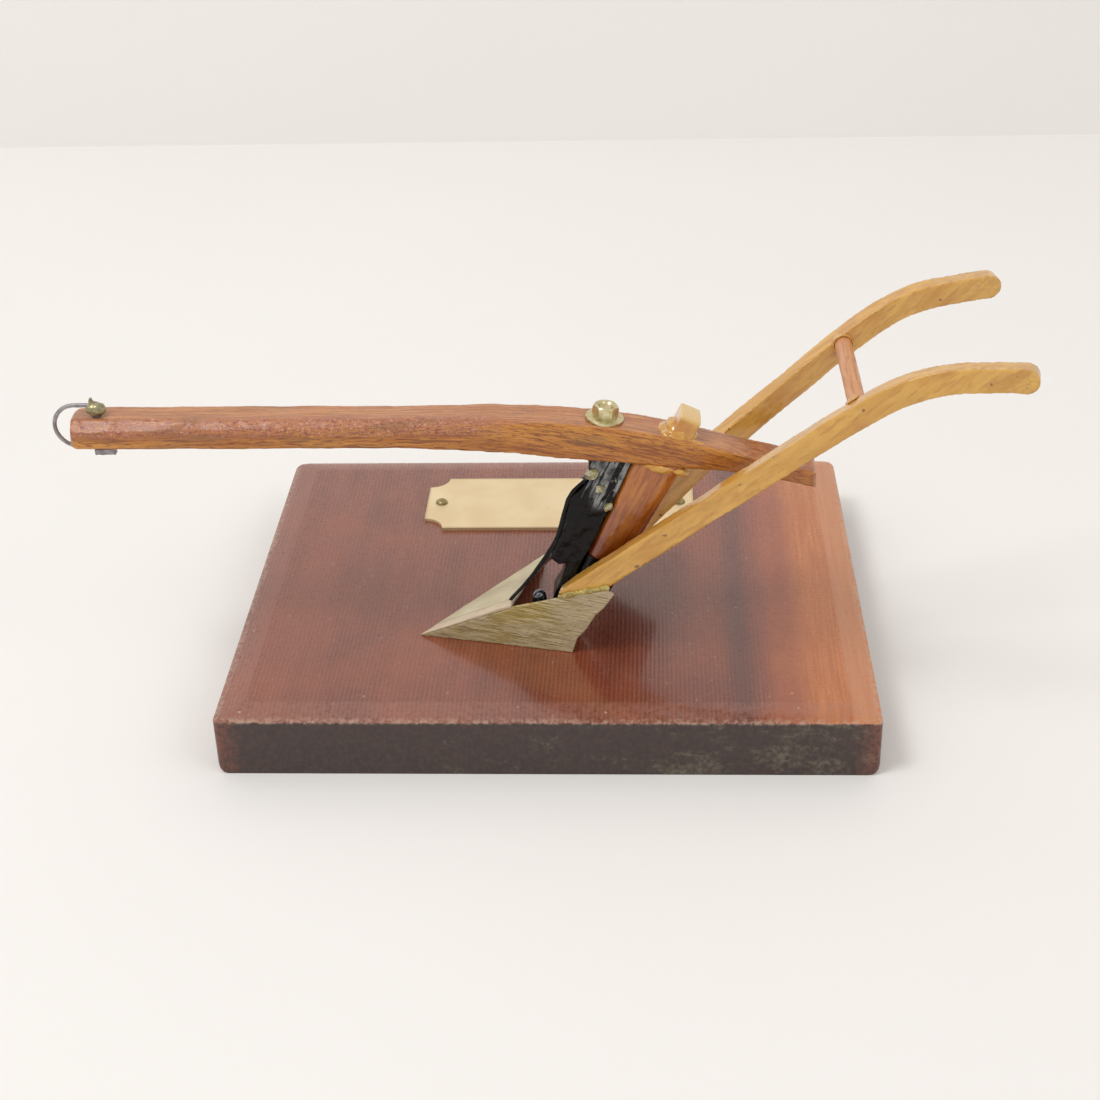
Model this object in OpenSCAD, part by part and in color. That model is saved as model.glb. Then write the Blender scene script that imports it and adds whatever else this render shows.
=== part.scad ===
// Miniature right-hand walking plow on a varnished base board.
// Origin: centre of the board's underside. The plow points to -X and throws its furrow to +Y.

/* [Base board] */
// Length of the board
base_w = 137; // [115:1:170]
// Depth of the board
base_d = 115; // [100:1:140]
// Height of the board at its flat top
base_h = 14; // [11:0.5:18]
// Height that the shallow top bevel rises
bevel_h = 1.1; // [0.5:0.1:2]
// Width of the shallow top bevel
bevel_w = 5.8; // [3:0.1:8]
// Radius of the two front corners in plan
front_corner_r = 1.2; // [0.6:0.1:4]
// Radius of the two back corners in plan
back_corner_r = 3.4; // [1:0.1:6]
// Radius of the bottom edges at the two ends
bottom_edge_r = 2.6; // [1:0.1:4]

/* [Nameplate] */
// Length of the nameplate
plate_w = 65; // [50:1:80]
// Depth of the nameplate
plate_d = 25; // [18:1:32]
// Thickness of the nameplate
plate_t = 0.8; // [0.5:0.1:1.5]
// Radius of the round bites at its corners
plate_notch_r = 4.6; // [3:0.1:6]
// Distance of the nameplate's middle behind the board's middle
plate_y = 32.7; // [30:0.1:35]
// Distance of a pin from the nameplate's end
pin_inset = 3.5; // [2.4:0.1:6]
// Diameter of a nameplate pin's head
pin_head_d = 3; // [2:0.1:4]
// Diameter of a nameplate pin's shank
pin_shank_d = 1.2; // [0.8:0.1:1.6]
// Length of a nameplate pin's shank below the plate
pin_len = 6; // [3:0.5:9]

/* [Beam] */
// Height of the beam's middle line at the front
beam_z = 64.2; // [60:0.1:70]
// Distance from the origin forward to the beam's front end
beam_front = 98.5; // [85:0.5:115]
// Distance from the origin back to the beam's rear end
beam_rear = 55.5; // [50:0.5:66]
// Width of the beam
beam_w = 8.6; // [7.6:0.1:11]
// Height of the beam along its front half
beam_h_front = 5.8; // [5:0.1:7]
// Height of the beam at the bolt
beam_h_bolt = 7.7; // [6.5:0.1:9]
// Height of the beam at the rear end
beam_h_rear = 3.6; // [3:0.1:5]
// How far the rear end falls below the front
beam_drop = 10.7; // [6:0.1:14]

/* [Standard] */
// Distance of the plow's middle plane in front of the board's middle
plow_front = 25; // [22:0.5:28]
// Lean of the standard from upright, in degrees
post_lean = 25.5; // [22:0.5:28]
// Where the standard's axis meets the board, behind the origin
post_foot_x = 2.7; // [1:0.1:5]
// Width of the standard under the beam, along the plow
post_w_top = 10.4; // [9:0.1:12]
// Width of the standard at its foot
post_w_foot = 6.4; // [5.5:0.1:7.4]
// Thickness of the standard under the beam, across the plow
post_t_top = 8.4; // [7:0.1:8.6]
// Thickness of the standard at its foot
post_t_foot = 5.6; // [5:0.1:6]
// Radius of the standard's long edges
post_edge_r = 1.9; // [1:0.1:2.4]
// Width of the tenon, along the plow
tenon_w = 4.4; // [3.5:0.1:6]
// Thickness of the tenon, across the plow
tenon_t = 6.8; // [5:0.1:7.4]
// Distance of the tenon behind the standard's axis
tenon_shift = 1.7; // [0:0.1:2.2]
// Height of the tenon's end above the beam's top, along its axis
peg_h = 5; // [3:0.1:7]

/* [Landside and share] */
// Splay of each handle and of the landside from the beam, in degrees
splay = 11.6; // [9:0.1:13]
// Distance of a handle's middle from the plow's middle plane, at the origin
handle_offset = 4.3; // [4.2:0.1:5]
// Thickness of the landside plate
landside_t = 0.6; // [0.4:0.1:1]
// Length of the landside's sole from the point to the heel
sole_len = 33.5; // [30:0.5:37]
// Height of the landside's top rear corner above the board
landside_h = 16.5; // [15:0.5:18]
// Thickness of the share and the moldboard
sheet_t = 1; // [0.7:0.1:1.4]
// How far the share's wing reaches to the furrow side of the plow's middle plane
wing_y = 34.5; // [28:0.5:40]

/* [Handles] */
// Thickness of a handle, across the plow
handle_t = 4; // [3.2:0.1:4.2]
// Depth of a handle's bar
handle_h = 5; // [4:0.1:6]
// Height of the grips' middle line above the table
grip_z = 85; // [80:0.5:92]
// Distance from the origin back to the grips' ends
grip_x = 94; // [88:0.5:104]
// Diameter of the rung
rung_d = 3.6; // [2.6:0.1:4.2]
// Distance from the origin back to the rung
rung_x = 61.5; // [56:0.5:66]

/* [Bolt and nut] */
// Distance from the origin back to the beam bolt
bolt_x = 12.2; // [11:0.1:13]
// Diameter of the beam bolt
bolt_d = 2.5; // [2:0.1:3]
// Size of the nut across its flats
nut_af = 4.7; // [4.2:0.1:5.5]
// Diameter of the nut's flange
flange_d = 7.9; // [6.8:0.1:8.4]
// Thickness of the nut's flange
flange_t = 0.9; // [0.6:0.1:1.3]
// Height of the nut above its flange
nut_h = 2.3; // [1.8:0.1:3]

/* [Clevis] */
// Distance of the clevis pin behind the beam's front end
clevis_back = 6; // [5:0.1:7]
// Diameter of the clevis pin
clevis_pin_d = 1.4; // [1:0.1:1.8]
// Diameter of the clevis wire
wire_d = 0.9; // [0.7:0.1:1.1]
// Radius of the clevis bow, at the wire's middle
bow_r = 4.7; // [4.6:0.1:5.2]
// Distance of the bow's centre ahead of the pin
bow_reach = 4.4; // [4:0.1:5]
// Radius of the solder cap on the clevis pin
cap_r = 2.2; // [1.8:0.1:2.6]

/* [Hidden] */
$fn = 48;

run_fit = 0.05;      // radial clearance of the clevis pin in the beam
swing_gap = 0.3;     // gap between the beam and what swings over it
seat = 0.01;         // gap left where two fixed pieces of one body meet on a curve
eps = 0.5;           // how far a cut runs past a face
plow_y = -plow_front;

// The base board's underside takes the screw into the standard.
screw_d = 2.6;
screw_head_d = 5.4;
screw_head_h = 2.2;
screw_sink = 1.5;
screw_len = 19;

// A point at the angle a, in degrees, on a circle.
function polar(c, r, a) = [c[0] + r * cos(a), c[1] + r * sin(a)];
// Points along an arc from angle a0 to a1 in n steps.
function arc(c, r, a0, a1, n) = [for (i = [0:n]) polar(c, r, a0 + (a1 - a0) * i / n)];
// 0 before a, 1 after b, and a smooth rise between.
function rise(x, a, b) = let (t = min(1, max(0, (x - a) / (b - a)))) t * t * (3 - 2 * t);
// A smooth curve through the points p, with n steps in each stretch.
function knot(p, i) = p[min(len(p) - 1, max(0, i))];
function smooth(p, n) = concat([for (i = [0:len(p) - 2], j = [0:n - 1])
    let (t = j / n, a = knot(p, i - 1), b = p[i], c = p[i + 1], d = knot(p, i + 2))
    0.5 * (2 * b + (c - a) * t + (2 * a - 5 * b + 4 * c - d) * t * t + (3 * b - a - 3 * c + d) * t * t * t)],
    [p[len(p) - 1]]);

// Beam: a straight front half, then a smooth fall to the rear.
fall_x = -30;
fall_power = 2.2;
function beam_mid(x) = beam_z - beam_drop * pow(max(0, x - fall_x) / (beam_rear - fall_x), fall_power);
function beam_h(x) = beam_h_front + (beam_h_bolt - beam_h_front) * rise(x, -35, 5)
    - (beam_h_bolt - beam_h_rear) * rise(x, bolt_x, beam_rear - 5);
function beam_top(x) = beam_mid(x) + beam_h(x) / 2;
function beam_bottom(x) = beam_mid(x) - beam_h(x) / 2;
bolt_tilt = -atan((beam_top(bolt_x + 3) - beam_top(bolt_x - 3)) / 6);
bolt_below = beam_h_bolt + 6;    // how far the bolt's hole runs below the beam's top
nose_r = 1.7;        // rounding of the beam's front end, seen from the side
nose_plan_r = 2.6;   // and from above
beam_steps = 30;
beam_xs = [for (i = [0:beam_steps])
    -beam_front + nose_r + (beam_front + beam_rear - nose_r) * i / beam_steps];

// Standard: distances along its leaning axis from the board's top.
post_run = (beam_bottom(post_foot_x + 24) - base_h) / cos(post_lean);
function post_x(z) = post_foot_x + (z - base_h) * tan(post_lean);
post_cross_x = post_x(beam_top(post_x(beam_z)));
peg_end = (beam_top(post_cross_x) - base_h) / cos(post_lean) + peg_h;
ferrule_wall = 0.3;
ferrule_low = 15;
ferrule_high = 22;

// Landside plane: at the left handle's outer face.
sole_front = -28;
heel_x = sole_front + sole_len;
ridge_x = -8;                   // where the share's ridge meets the moldboard's shin
ridge_h = 9.6;
landside_top_x = heel_x + 9;
wing_x = -2;

// Share: the point, the wing's end and the top of the ridge, on the landside's outer face.
function land_y(x) = plow_y - handle_offset - x * tan(splay) - (handle_t / 2 + landside_t) / cos(splay);
share_tip = [sole_front - 0.4, land_y(sole_front), base_h];
share_wing = [wing_x, plow_y + wing_y, base_h];
share_ridge = [ridge_x, land_y(ridge_x), base_h + ridge_h];

// Moldboard: a narrow leg up from the share's ridge, wider above, and swept back to the tail.
shin = [[ridge_x, ridge_h + base_h + sheet_t + 0.02], [-3.7, 29.9], [0.2, 35.8], [2.8, 41], [5, 49.3],
    [8.6, 53.4]];
tail = [24, plow_y + 29, 30];
sheet_dir = [-0.86, 0.5, 0];
mold_leg = 0.07;      // how much of the moldboard's width its leg down to the share keeps
mold_u = 10;
mold_v = 14;

// Frog: its web stands between a near and a far face, on a sole screwed to the board.
frog_near = 3.6;
frog_far = 2.2;
frog_foot_h = 5;
frog_boss_h = 10.6;   // height of the round boss under the frog screw's head
frog_boss_d = 3.2;
frog_screw_x = -2.1;
frog_screw_y = plow_y - 2;
frog_screw_d = 1.6;
frog_screw_bite = 6;
frog_screw_head_d = 3;
frog_screw_head_h = 1.5;

// Handles: the middle line in the handle's own plane, as distance back and height.
grip_drop = 1.6;
handle_line = [[4, 26.3], [15.2, 36], [32, 50.2], [48.3, 64], [60.5, 74], [grip_x - 25, grip_z - 5],
    [grip_x - 17, grip_z - grip_drop], [grip_x - 8, grip_z - 0.4], [grip_x - handle_h / 2, grip_z]];
right_foot = [13.5, 31.5];
rung_z = grip_z - 9.6;
rung_let_in = 2;      // how far the rung goes into each handle

// Clevis: the bow's middle line is level with the beam's middle, a little high.
clevis_x = -beam_front + clevis_back;
clevis_mid = (beam_top(clevis_x) + beam_bottom(clevis_x)) / 2 + 0.6;

// ---- shared shapes ----

// Stands a side view (X, Z) up in the plow's middle plane, t thick.
module side_slab(t) {
    translate([0, plow_y + t / 2, 0]) rotate([90, 0, 0]) linear_extrude(t) children();
}

// Stands a side view up in the plane of the left (side = -1) or right (side = 1) handle. The view's
// distances back are measured along X, y0 is the distance of its inner face from the handle's middle.
module splay_slab(side, y0, t) {
    translate([0, plow_y + side * handle_offset, 0]) rotate([0, 0, side * splay])
        translate([0, side < 0 ? -y0 : y0 + t, 0]) rotate([90, 0, 0]) linear_extrude(t)
            children();
}
function along(x) = x / cos(splay);

// Moves to the standard's leaning axis, with +Z up along it.
module on_post() {
    translate([post_foot_x, plow_y, base_h]) rotate([0, post_lean, 0]) children();
}

module round_rect(w, d, r) {
    polygon(concat(arc([w / 2 - r, d / 2 - r], r, 0, 90, 6), arc([-w / 2 + r, d / 2 - r], r, 90, 180, 6),
        arc([-w / 2 + r, -d / 2 + r], r, 180, 270, 6), arc([w / 2 - r, -d / 2 + r], r, 270, 360, 6)));
}

module beam_side() {
    polygon(concat([for (x = beam_xs) [x, beam_top(x)]],
        [for (i = [0:beam_steps]) let (x = beam_xs[beam_steps - i]) [x, beam_bottom(x)]],
        arc([-beam_front + nose_r, beam_bottom(-beam_front) + nose_r], nose_r, 270, 180, 5),
        arc([-beam_front + nose_r, beam_top(-beam_front) - nose_r], nose_r, 180, 90, 5)));
}

module beam_plan() {
    polygon(concat([[beam_rear + eps, -beam_w / 2], [beam_rear + eps, beam_w / 2]],
        arc([-beam_front + nose_plan_r, beam_w / 2 - nose_plan_r], nose_plan_r, 90, 180, 6),
        arc([-beam_front + nose_plan_r, -beam_w / 2 + nose_plan_r], nose_plan_r, 180, 270, 6)));
}

module beam_blank() {
    intersection() {
        side_slab(beam_w + 1) beam_side();
        translate([0, plow_y, 40]) linear_extrude(40) beam_plan();
    }
}

module tenon(grow) {
    on_post() translate([tenon_shift - tenon_w / 2 - grow, -tenon_t / 2 - grow, post_run - 9])
        cube([tenon_w + 2 * grow, tenon_t + 2 * grow, peg_end - post_run + 9]);
}

module post_blank(grow) {
    hull() {
        on_post() translate([0, 0, -6]) linear_extrude(seat)
            round_rect(post_w_foot + 2 * grow, post_t_foot + 2 * grow, post_edge_r);
        on_post() translate([0, 0, post_run + 6]) linear_extrude(seat)
            round_rect(post_w_top + 2 * grow, post_t_top + 2 * grow, post_edge_r);
    }
}

// The part of a leaning shape that stands above the board and below the beam.
module between_board_and_beam() {
    difference() {
        intersection() {
            children();
            translate([-60, plow_y - 30, base_h]) cube([120, 60, 60]);
        }
        side_slab(30) polygon(concat([for (x = beam_xs) [x, beam_bottom(x)]],
            [[beam_rear, beam_z + 30], [-beam_front, beam_z + 30]]));
    }
}

// Moves to the bolt's axis, with the origin on the beam's top.
module on_bolt() {
    translate([bolt_x, plow_y, beam_top(bolt_x)]) rotate([0, bolt_tilt, 0]) children();
}

// The moldboard's surface: the shin sweeps over to the furrow side and back to the tail.
function shin_at(v) = let (p = smooth(shin, 6), i = v * (len(p) - 1), k = min(len(p) - 2, floor(i)))
    p[k] + (p[k + 1] - p[k]) * (i - k);
function mold_at(u, v) = let (
    s = shin_at(v), a = [s[0], plow_y - 4.3 + 1.1 * v, s[1]],
    w = [wing_x, plow_y + wing_y, base_h + 0.6], e = w + (tail - w) * v,
    bow = 4.6 * u * (1 - u) * (0.35 + v))
    a + ((e - a) * u + bow * [0.7, -0.5, 0]) * (mold_leg + (1 - mold_leg) * rise(v, 0.2, 0.55));

// A solid between the moldboard's surface moved by f and by g along sheet_dir.
module mold_solid(f, g) {
    front = [for (j = [0:mold_v], i = [0:mold_u]) mold_at(i / mold_u, j / mold_v) + f * sheet_dir];
    back = [for (j = [0:mold_v], i = [0:mold_u]) mold_at(i / mold_u, j / mold_v) + g * sheet_dir];
    n = mold_u + 1;
    m = n * (mold_v + 1);
    polyhedron(concat(front, back), concat(
        [for (j = [0:mold_v - 1], i = [0:mold_u - 1], k = [0, 1]) let (a = j * n + i)
            k == 0 ? [a, a + n, a + 1] : [a + 1, a + n, a + n + 1]],
        [for (j = [0:mold_v - 1], i = [0:mold_u - 1], k = [0, 1]) let (a = m + j * n + i)
            k == 0 ? [a, a + 1, a + n] : [a + 1, a + n + 1, a + n]],
        [for (i = [0:mold_u - 1], k = [0, 1]) k == 0 ? [i, i + 1, m + i] : [i + 1, m + i + 1, m + i]],
        [for (i = [0:mold_u - 1], k = [0, 1]) let (a = mold_v * n + i)
            k == 0 ? [a, m + a, a + 1] : [a + 1, m + a, m + a + 1]],
        [for (j = [0:mold_v - 1], k = [0, 1]) let (a = j * n)
            k == 0 ? [a, m + a, a + n] : [a + n, m + a, m + a + n]],
        [for (j = [0:mold_v - 1], k = [0, 1]) let (a = j * n + mold_u)
            k == 0 ? [a, a + n, m + a] : [a + n, m + a + n, m + a]]));
}

// A bar that follows a line of points in side view, h deep, with a rounded end.
module bar_side(p, h) {
    n = len(p) - 1;
    dir = [for (i = [0:n]) let (d = p[min(n, i + 1)] - p[max(0, i - 1)]) d / norm(d)];
    last = atan2(dir[n][1], dir[n][0]);
    polygon(concat([for (i = [0:n]) p[i] + h / 2 * [-dir[i][1], dir[i][0]]],
        arc(p[n], h / 2, last + 80, last - 80, 8),
        [for (i = [0:n]) p[n - i] - h / 2 * [-dir[n - i][1], dir[n - i][0]]]));
}
function spread(p) = [for (q = p) [along(q[0]), q[1]]];

module rung_bar(d, reach) {
    y = handle_offset + rung_x * tan(splay);
    translate([rung_x, plow_y + y - handle_t / 2 + reach, rung_z]) rotate([90, 0, 0])
        cylinder(d = d, h = 2 * (y - handle_t / 2 + reach));
}

// ---- sub-parts ----

// Varnished plaque with a shallow bevel round its top.
module base_board() {
    color("#6f3328") difference() {
        intersection() {
            translate([0, base_d / 2 + 1, 0]) rotate([90, 0, 0]) linear_extrude(base_d + 2)
                polygon(concat(arc([-base_w / 2 + bottom_edge_r, bottom_edge_r], bottom_edge_r, 180, 270, 6),
                    arc([base_w / 2 - bottom_edge_r, bottom_edge_r], bottom_edge_r, 270, 360, 6),
                    [[base_w / 2, base_h - bevel_h], [base_w / 2 - bevel_w, base_h],
                    [-base_w / 2 + bevel_w, base_h], [-base_w / 2, base_h - bevel_h]]));
            rotate([90, 0, 90]) translate([0, 0, -base_w / 2 - 1]) linear_extrude(base_w + 2)
                polygon([[-base_d / 2, 0], [base_d / 2, 0], [base_d / 2, base_h - bevel_h],
                    [base_d / 2 - bevel_w, base_h], [-base_d / 2 + bevel_w, base_h],
                    [-base_d / 2, base_h - bevel_h]]);
            linear_extrude(base_h + 1) polygon(concat(
                arc([base_w / 2 - back_corner_r, base_d / 2 - back_corner_r], back_corner_r, 0, 90, 8),
                arc([-base_w / 2 + back_corner_r, base_d / 2 - back_corner_r], back_corner_r, 90, 180, 8),
                arc([-base_w / 2 + front_corner_r, -base_d / 2 + front_corner_r], front_corner_r, 180, 270, 5),
                arc([base_w / 2 - front_corner_r, -base_d / 2 + front_corner_r], front_corner_r, 270, 360, 5)));
        }
        translate([post_foot_x, plow_y, -eps]) cylinder(d = screw_d, h = base_h + 2 * eps);
        translate([post_foot_x, plow_y, -eps]) cylinder(d = screw_head_d, h = screw_sink + eps);
        translate([post_foot_x, plow_y, screw_sink])
            cylinder(d1 = screw_head_d, d2 = screw_d, h = screw_head_h);
        for (s = [-1, 1]) translate([s * (plate_w / 2 - pin_inset), plate_y, base_h - pin_len])
            cylinder(d = pin_shank_d, h = pin_len + eps);
        translate([frog_screw_x, frog_screw_y, base_h - frog_screw_bite])
            cylinder(d = frog_screw_d, h = frog_screw_bite + eps);
    }
}

// Thin brass plate with round bites at its corners, left bare.
module nameplate() {
    color("#cdbb86") translate([0, plate_y, base_h]) difference() {
        translate([-plate_w / 2, -plate_d / 2, 0]) cube([plate_w, plate_d, plate_t]);
        for (x = [-1, 1], y = [-1, 1]) translate([x * plate_w / 2, y * plate_d / 2, -eps])
            cylinder(r = plate_notch_r, h = plate_t + 2 * eps);
        for (x = [-1, 1]) translate([x * (plate_w / 2 - pin_inset), 0, -eps])
            cylinder(d = pin_shank_d + 2 * seat, h = plate_t + 2 * eps);
    }
}

// Two round-headed escutcheon pins.
module nameplate_pins() {
    color("#8d7f55") for (s = [-1, 1])
        translate([s * (plate_w / 2 - pin_inset), plate_y, base_h + plate_t]) rotate_extrude()
            polygon(concat([[0, -plate_t - pin_len + pin_shank_d / 2], [0, 1]],
                [for (a = [75:-15:0]) [pin_head_d / 2 * cos(a), sin(a)]],
                [[pin_shank_d / 2 - seat, 0], [pin_shank_d / 2 - seat, -plate_t - pin_len + pin_shank_d]]));
}

// Oak beam: mortised for the standard, bored for the bolt and the clevis pin.
module beam() {
    color("#a85f2c") difference() {
        beam_blank();
        tenon(0);
        on_bolt() translate([0, 0, -bolt_below]) cylinder(d = bolt_d, h = bolt_below + 2);
        on_bolt() cylinder(d = flange_d + 0.4, h = 3);
        translate([clevis_x, plow_y, 50]) cylinder(d = clevis_pin_d + 2 * run_fit, h = 30);
    }
}

// Leaning wooden post with a tenon through the beam.
module standard() {
    color("#b8621f") difference() {
        union() {
            between_board_and_beam() post_blank(0);
            tenon(0);
        }
        translate([post_foot_x, plow_y, base_h - eps])
            cylinder(d = screw_d, h = screw_sink + screw_len - base_h + eps);
        on_bolt() translate([0, 0, -bolt_below]) cylinder(d = bolt_d + 2 * seat, h = bolt_below);
    }
}

// Glue standing round the tenon on top of the beam.
module tenon_glue() {
    s = (beam_top(post_cross_x) - base_h) / cos(post_lean);
    color("#d9a848") difference() {
        hull() {
            on_post() translate([tenon_shift - 4.3, -3.9, s - 3]) cube([8.8, 7.8, 0.4]);
            on_post() translate([tenon_shift - tenon_w / 2 - 0.25, -tenon_t / 2 - 0.2, s + 1.6])
                cube([tenon_w + 0.5, tenon_t + 0.4, 0.1]);
        }
        beam_blank();
        tenon(0);
    }
}

// Glue fillet under the beam round the standard's shoulder.
module shoulder_glue() {
    color("#c98a35") difference() {
        between_board_and_beam() hull() {
            on_post() translate([0, 0, post_run - 2.6]) linear_extrude(0.1)
                round_rect(post_w_top + 0.3, post_t_top + 0.2, post_edge_r);
            on_post() translate([0, 0, post_run + 6]) linear_extrude(0.1)
                round_rect(post_w_top + 1.8, min(beam_w, post_t_top + 0.8), post_edge_r);
        }
        post_blank(seat);
        frog_clear(0.05);
        on_bolt() translate([0, 0, -bolt_below]) cylinder(d = bolt_d + 0.2, h = bolt_below);
    }
}

// Thin collar round the standard's foot.
module post_ferrule() {
    color("#3a3a3c") difference() {
        intersection() {
            post_blank(ferrule_wall);
            on_post() translate([-15, -15, ferrule_low]) cube([30, 30, ferrule_high - ferrule_low]);
        }
        post_blank(seat);
    }
}

// Front edge of the standard at the height z, moved out by grow.
function post_left(z, grow) = let (s = (z - base_h) / cos(post_lean),
    w = post_w_foot + (post_w_top - post_w_foot) * (s + 6) / (post_run + 12))
    post_x(z) - (w / 2 + grow) / cos(post_lean);

// Outline of the frog's web behind the moldboard's shin, with the open arch below.
module frog_outline(grow) {
    gap = 0.1 - grow;
    polygon([[ridge_x + 0.6, base_h], [post_left(base_h, gap) - 0.4, base_h],
        [post_left(base_h + 14, ferrule_wall + gap), base_h + 14],
        [post_left(base_h + 21, ferrule_wall + gap), base_h + 21],
        [post_left(base_h + 23, gap), base_h + 23], [post_left(58, gap), 58], [post_left(64, gap), 64],
        [8.8 - grow, 64], [8.9 - grow, 52.8 - grow], [5, 49.3], [3.2, 42.5], [0.9, 38], [-0.2, 35.6],
        [2.2, 33.4], [4.4, 33.6], [3.5, 31.8], [2.2, 28.4], [1, 25.8],
        [0.3, base_h + frog_foot_h], [ridge_x + 0.6, base_h + frog_foot_h]]);
}

module frog_clear(grow) {
    between_board_and_beam() translate([0, plow_y + frog_far + grow, 0]) rotate([90, 0, 0])
        linear_extrude(frog_near + frog_far + 2 * grow) frog_outline(grow);
}

// Black casting that carries the moldboard, the landside and the beam.
module frog() {
    color("#141314") difference() {
        union() {
            frog_clear(0);
            frog_sole();
            translate([frog_screw_x, frog_screw_y, base_h]) cylinder(d = frog_boss_d, h = frog_boss_h);
        }
        mold_solid(-0.05, 40);
        share_space();
        on_bolt() translate([0, 0, -bolt_below]) cylinder(d = bolt_d, h = bolt_below);
        translate([frog_screw_x, frog_screw_y, base_h - eps])
            cylinder(d = frog_screw_d, h = frog_boss_h + 2 * eps);
    }
}

// The frog's sole fills the space between its web and the landside.
module frog_sole() {
    inner = plow_y - frog_near + 0.1;
    function side_y(x) = plow_y - handle_offset - x * tan(splay) - handle_t / 2 / cos(splay);
    x0 = ridge_x + 2.5;
    x1 = 0.3;
    translate([0, 0, base_h]) linear_extrude(frog_foot_h)
        polygon([[x0, side_y(x0)], [x1, side_y(x1)], [x1, inner], [x0, inner]]);
}

// Hardened drops of glue on the frog's head under the beam.
module frog_glue() {
    color("#c9c27e") difference() {
        union() {
            translate([9.6, plow_y - frog_near, 55]) sphere(d = 2.6, $fn = 20);
            translate([11.2, plow_y - frog_near, 51.5]) sphere(d = 2, $fn = 20);
            translate([12.8, plow_y - frog_near, 47.2]) sphere(d = 1.8, $fn = 20);
        }
        frog_clear(0);
        post_blank(0.02);
        mold_solid(-0.2, 40);
        beam_blank();
    }
}

// Curved sheet that turns the furrow to the right.
module moldboard() {
    color("#100f10") mold_solid(0, sheet_t);
}

// The share's skin over its three corners, raised by up at the ridge and sunk by down.
module share_solid(up, down) {
    lift = [0, 0, up];
    sink = [0, 0, down];
    thin = [0, 0, 0.35];
    polyhedron([share_tip + thin, share_wing + thin, share_ridge + lift,
        share_tip, share_wing, share_ridge - sink],
        [[0, 1, 2], [3, 5, 4], [0, 3, 4], [0, 4, 1], [1, 4, 5], [1, 5, 2], [2, 5, 3], [2, 3, 0]]);
}

// The space above the share's underside, kept clear by the frog.
module share_space() {
    hull() {
        share_solid(sheet_t, 0.05);
        translate([0, 0, 8]) share_solid(sheet_t, 0);
    }
}

// Triangular steel share: point, cutting edge and wing.
module share() {
    color("#cfc7a2") share_solid(sheet_t, 0);
}

// Flat plate along the furrow wall, rough cut at the heel.
module landside() {
    color("#a39a6d") difference() {
        splay_slab(-1, handle_t / 2, landside_t) polygon([
            [along(sole_front), base_h], [along(heel_x), base_h], [along(heel_x + 1), base_h + 3.6],
            [along(heel_x + 3), base_h + 6.3], [along(heel_x + 5), base_h + 10],
            [along(heel_x + 7), base_h + 12.3], [along(landside_top_x), base_h + landside_h - 0.9],
            [along(landside_top_x - 1.5), base_h + landside_h], [along(heel_x), base_h + 14.4],
            [along(0), base_h + 12.3], [along(ridge_x), base_h + ridge_h]]);
        share_space();
    }
}

// Bead of glue between the landside's top edge and the left handle.
module landside_glue() {
    r = 0.55;
    color("#cdb53c") difference() {
        splay_slab(-1, handle_t / 2, landside_t + 0.2)
            for (x = [3:0.9:13]) let (z = base_h + 12.3 + (landside_h - 12.3) * x / (landside_top_x - 1.5))
                translate([along(x), z + r]) circle(r = r + 0.12 * sin(x * 90), $fn = 16);
        landside();
    }
}

// A handle: side = -1 for the left one, 1 for the right one.
module handle_bar(side, p) {
    splay_slab(side, -handle_t / 2, handle_t) bar_side(spread(smooth(p, 5)), handle_h);
}

module left_handle() {
    color("#c98f35") difference() {
        handle_bar(-1, handle_line);
        rung_bar(rung_d, rung_let_in);
        translate([-20, plow_y - 40, base_h - 10]) cube([21.8, 60, 40]);
        post_blank(ferrule_wall + 0.05);
        frog_clear(0.05);
        frog_sole();
    }
}

module right_handle() {
    color("#c98f35") difference() {
        handle_bar(1, concat([right_foot], [for (i = [2:len(handle_line) - 1]) handle_line[i]]));
        rung_bar(rung_d, rung_let_in);
        mold_solid(-0.05, 40);
        post_blank(ferrule_wall + 0.05);
    }
}

// Glue between the right handle's foot and the back of the moldboard.
module right_handle_glue() {
    color("#cdb53c") difference() {
        translate([right_foot[0] - 1, plow_y + handle_offset + right_foot[0] * tan(splay) + 1,
            right_foot[1] - 1])
            sphere(d = 6.4, $fn = 24);
        handle_bar(1, concat([right_foot], [for (i = [2:len(handle_line) - 1]) handle_line[i]]));
        mold_solid(-0.03, 40);
        post_blank(ferrule_wall + 0.1);
        frog_clear(0.1);
    }
}

// Round rung let into both handles.
module handle_rung() {
    color("#c7845a") rung_bar(rung_d, rung_let_in);
}

// Thin collars of glue where the rung enters the handles.
module rung_glue() {
    y = handle_offset + rung_x * tan(splay) - handle_t / 2 / cos(splay);
    color("#d9a848") difference() {
        for (s = [-1, 1]) translate([rung_x, plow_y + s * y, rung_z]) rotate([90, 0, 0])
            cylinder(d = rung_d + 1, h = 1.6, center = true);
        rung_bar(rung_d + 2 * seat, 4);
        handle_bar(1, handle_line);
        handle_bar(-1, handle_line);
    }
}

// Stud from the frog's head up through the beam.
module beam_bolt() {
    color("#b9a764") on_bolt() translate([0, 0, -bolt_below + 0.2])
        cylinder(d = bolt_d - 2 * seat, h = bolt_below + flange_t + nut_h - 0.5);
}

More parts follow.
